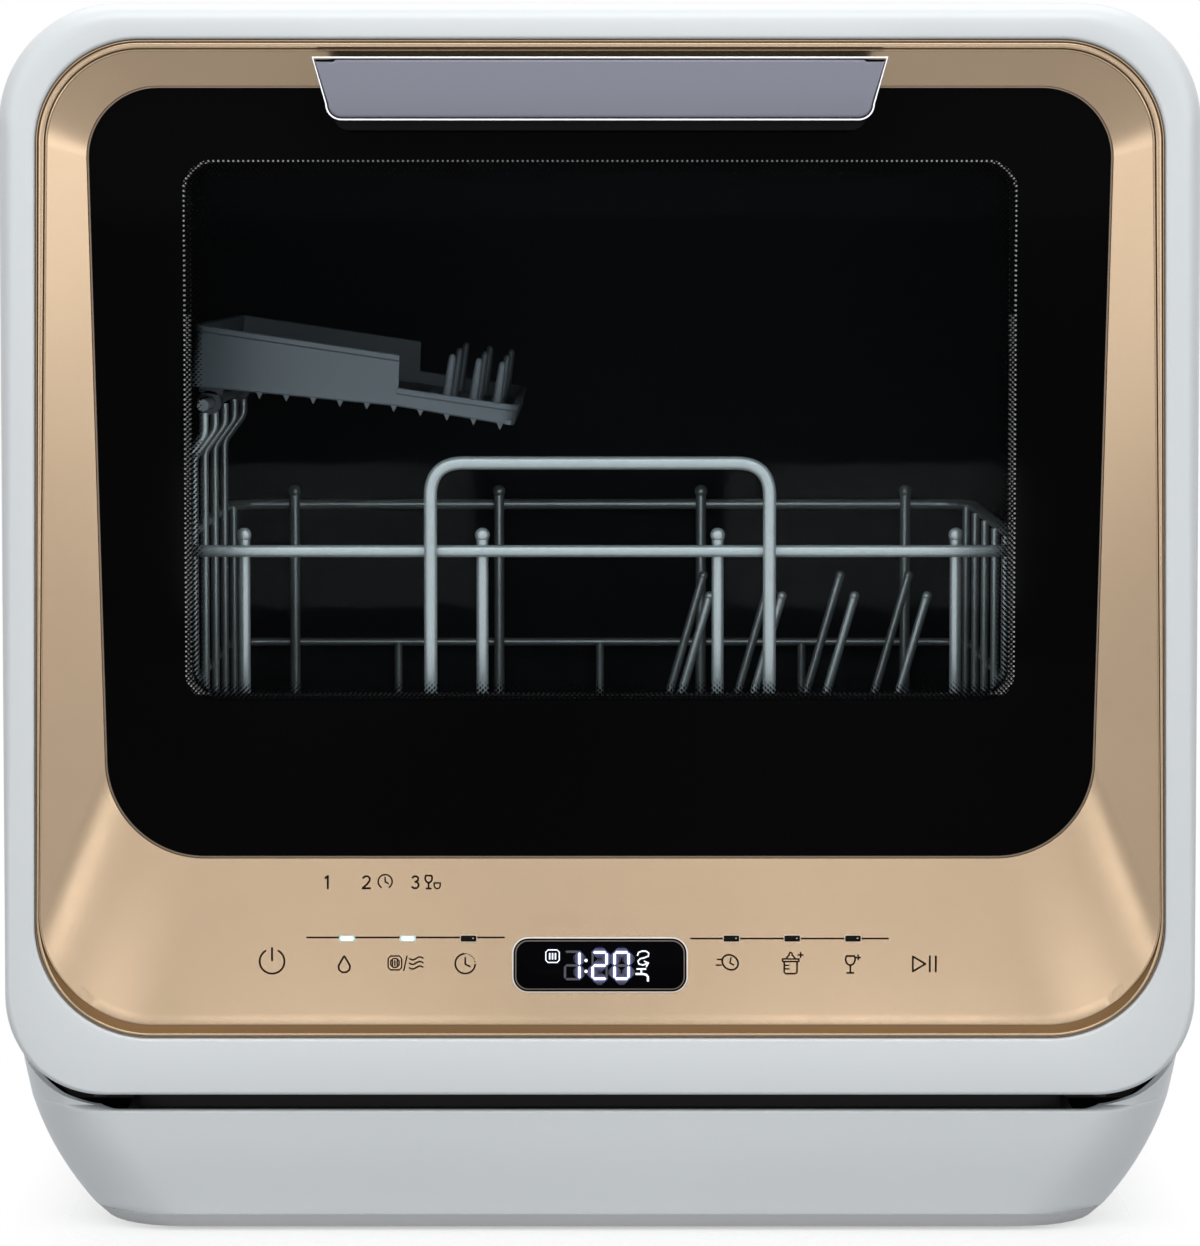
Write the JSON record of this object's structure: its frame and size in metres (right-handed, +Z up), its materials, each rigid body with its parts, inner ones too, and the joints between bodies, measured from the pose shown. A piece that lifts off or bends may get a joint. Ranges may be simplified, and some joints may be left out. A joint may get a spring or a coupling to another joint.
{
  "type": "countertop dishwasher",
  "caption": "Compact countertop dishwasher with a drop-down glass door, a basket that slides out with it, a cutlery rack, a spray arm and its own water tank.",
  "frame": {"origin": "on the counter, under the middle of the bounding box", "axes": "+Z up, the door faces -Y, +X to the right of someone facing the door"},
  "size_m": [0.42, 0.435, 0.4355],
  "materials": {
    "white_plastic": "satin",
    "foot_plastic": "satin",
    "back_plastic": "satin",
    "cap_plastic": "satin",
    "black_plastic": "satin",
    "foot_rubber": "matte",
    "tub_plastic": "satin",
    "seal_rubber": "matte",
    "steel": "brushed",
    "screw_steel": "brushed",
    "filter_plastic": "satin",
    "pump_plastic": "satin",
    "hose_rubber": "matte",
    "tank_plastic": "satin",
    "board_green": "satin",
    "bush_plastic": "satin",
    "gold_paint": "satin metallic paint",
    "door_glass": "gloss",
    "clear_glass": "gloss",
    "liner_plastic": "satin",
    "handle_metal": "satin",
    "handle_chrome": "polished",
    "display_black": "gloss",
    "led_white": "gloss",
    "rack_plastic": "satin",
    "wire_coating": "satin",
    "arm_plastic": "satin"
  },
  "bodies": {
    "cabinet": {"casing": "white_plastic", "rear_frame": "white_plastic", "base_tray": "white_plastic", "kick_panel": "white_plastic", "foot_frame": "foot_plastic", "rear_panel": "back_plastic", "filler_neck": "back_plastic", "front_beam": "black_plastic", "drip_channel": "black_plastic", "feet": "foot_rubber", "tub": "tub_plastic", "tub_gasket": "seal_rubber", "sump": "tub_plastic", "filter_plate": "steel", "fine_filter": "filter_plastic", "spray_riser": "tub_plastic", "wash_pump": "pump_plastic", "drain_pump": "pump_plastic", "heater": "steel", "drain_pipe": "hose_rubber", "fill_pipe": "hose_rubber", "water_tank": "tank_plastic", "power_board": "board_green", "inlet_valve": "pump_plastic", "drain_outlet": "pump_plastic", "mains_gland": "black_plastic", "hinge_brackets": "steel", "hinge_bushes": "bush_plastic", "latch_strike": "pump_plastic", "latch_switch": "black_plastic", "panel_screws": "screw_steel", "spray_cap": "filter_plastic"},
    "door": {"door_frame": "white_plastic", "fascia": "gold_paint", "outer_glass": "door_glass", "inner_glass": "clear_glass", "door_liner": "liner_plastic", "door_screws": "screw_steel", "handle_base": "black_plastic", "handle_plate": "handle_metal", "handle_trim": "handle_chrome", "control_board": "board_green", "display_bezel": "handle_chrome", "display_lens": "display_black", "led_lenses": "led_white", "detergent_cup": "filter_plastic", "latch_hook": "steel", "hinge_arms": "steel"},
    "lid": {"detergent_lid": "rack_plastic"},
    "basket": {"basket_frame": "wire_coating", "basket_loop": "wire_coating", "plate_tines": "wire_coating", "basket_feet": "rack_plastic", "rack_rod": "wire_coating"},
    "rack": {"cutlery_rack": "rack_plastic"},
    "spray": {"spray_arm": "arm_plastic"},
    "cap": {"filler_cap": "cap_plastic"}
  },
  "joints": [
    {"name": "door_hinge", "type": "hinge", "parent": "cabinet", "child": "door", "pos_m": [0, -0.1965, 0.056], "axis": [1, 0, 0], "range_deg": [0, 90]},
    {"name": "basket_slide", "type": "slide", "parent": "cabinet", "child": "basket", "axis": [0, -1, 0], "range_m": [0, 0.15]},
    {"name": "rack_fold", "type": "hinge", "parent": "basket", "child": "rack", "pos_m": [-0.147, 0, 0.2915], "axis": [0, -1, 0], "range_deg": [0, 45]},
    {"name": "spray_spin", "type": "hinge", "parent": "cabinet", "child": "spray", "pos_m": [0, -0.005, 0.1045], "axis": [0, 0, 1], "continuous": true},
    {"name": "lid_slide", "type": "slide", "parent": "door", "child": "lid", "axis": [1, 0, 0], "range_m": [0, 0.076]},
    {"name": "flap_turn", "type": "hinge", "parent": "cabinet", "child": "cap", "pos_m": [0.11, 0.1836, 0.4329], "axis": [-1, 0, 0], "range_deg": [0, 100]}
  ],
  "couplings": [
    {"joint": "basket_slide", "follows": "door_hinge", "m_per_rad": 0.095}
  ]
}
